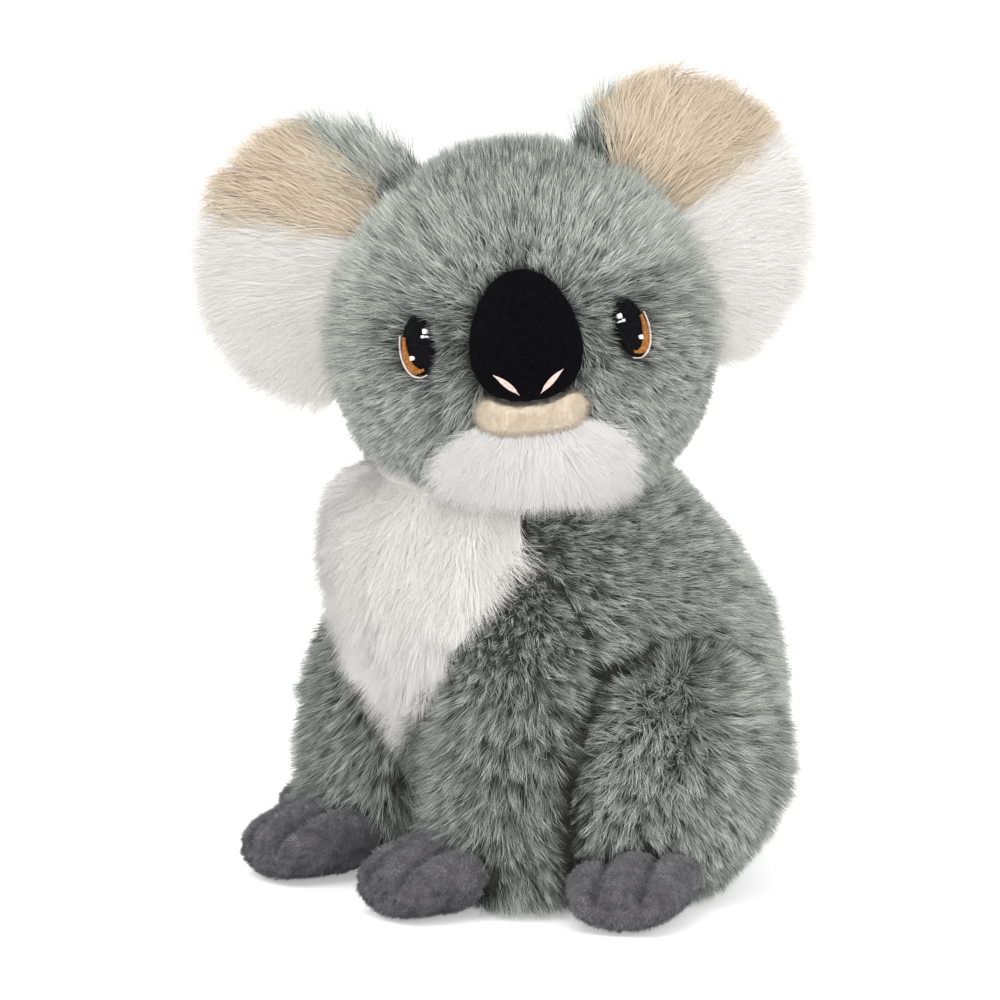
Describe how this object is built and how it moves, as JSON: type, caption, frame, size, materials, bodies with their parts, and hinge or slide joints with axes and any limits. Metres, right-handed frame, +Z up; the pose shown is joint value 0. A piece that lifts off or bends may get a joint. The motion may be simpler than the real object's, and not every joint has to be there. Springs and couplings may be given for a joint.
{
  "type": "plush koala",
  "caption": "Sitting koala soft toy in grey pile with a white bib, round furry ears, padded black nose, stitched eyes and dark plush paws",
  "frame": {"origin": "middle of the flat seat panel's underside, on the surface the toy sits on", "axes": "+Z up, -Y the way the chest faces, +X towards the toy's own left side; the head is turned to +X"},
  "size_m": [0.1946, 0.1591, 0.233],
  "materials": {
    "grey_heather_pile": "long heathered pile, matt",
    "white_long_pile": "long silky pile, matt",
    "tan_long_pile": "long pile, matt",
    "beige_short_pile": "short pile, matt",
    "dark_short_plush": "short crushed plush, matt",
    "black_velvet": "velvet, matt",
    "black_thread": "satin stitch",
    "amber_thread": "satin stitch",
    "pale_thread": "satin stitch",
    "pink_thread": "satin stitch",
    "fibre_fill": "loose polyester fibre, matt",
    "pellet_pouch_cloth": "plain woven cloth, matt"
  },
  "bodies": {
    "root": {"body_skin": "grey_heather_pile", "chest_bib": "white_long_pile", "seat_panel": "grey_heather_pile", "bean_pouch": "pellet_pouch_cloth", "body_stuffing": "fibre_fill", "head_skin": "grey_heather_pile", "chin_patch": "white_long_pile", "muzzle_strip": "beige_short_pile", "head_stuffing": "fibre_fill", "nose_pad": "black_velvet", "nostril_left": "pink_thread", "eye_pupil_left": "black_thread", "eye_iris_left": "amber_thread", "eye_rim_left": "pale_thread", "eye_glint_left": "pale_thread", "ear_back_left": "grey_heather_pile", "ear_tan_left": "tan_long_pile", "ear_white_left": "white_long_pile", "arm_left_skin": "grey_heather_pile", "arm_left_stuffing": "fibre_fill", "thigh_left_skin": "grey_heather_pile", "thigh_left_stuffing": "fibre_fill", "front_paw_left_skin": "dark_short_plush", "front_paw_left_stuffing": "fibre_fill", "hind_paw_left_skin": "dark_short_plush", "hind_paw_left_stuffing": "fibre_fill", "nostril_right": "pink_thread", "eye_pupil_right": "black_thread", "eye_iris_right": "amber_thread", "eye_rim_right": "pale_thread", "eye_glint_right": "pale_thread", "ear_back_right": "grey_heather_pile", "ear_tan_right": "tan_long_pile", "ear_white_right": "white_long_pile", "arm_right_skin": "grey_heather_pile", "arm_right_stuffing": "fibre_fill", "thigh_right_skin": "grey_heather_pile", "thigh_right_stuffing": "fibre_fill", "front_paw_right_skin": "dark_short_plush", "front_paw_right_stuffing": "fibre_fill", "hind_paw_right_skin": "dark_short_plush", "hind_paw_right_stuffing": "fibre_fill"}
  },
  "joints": []
}
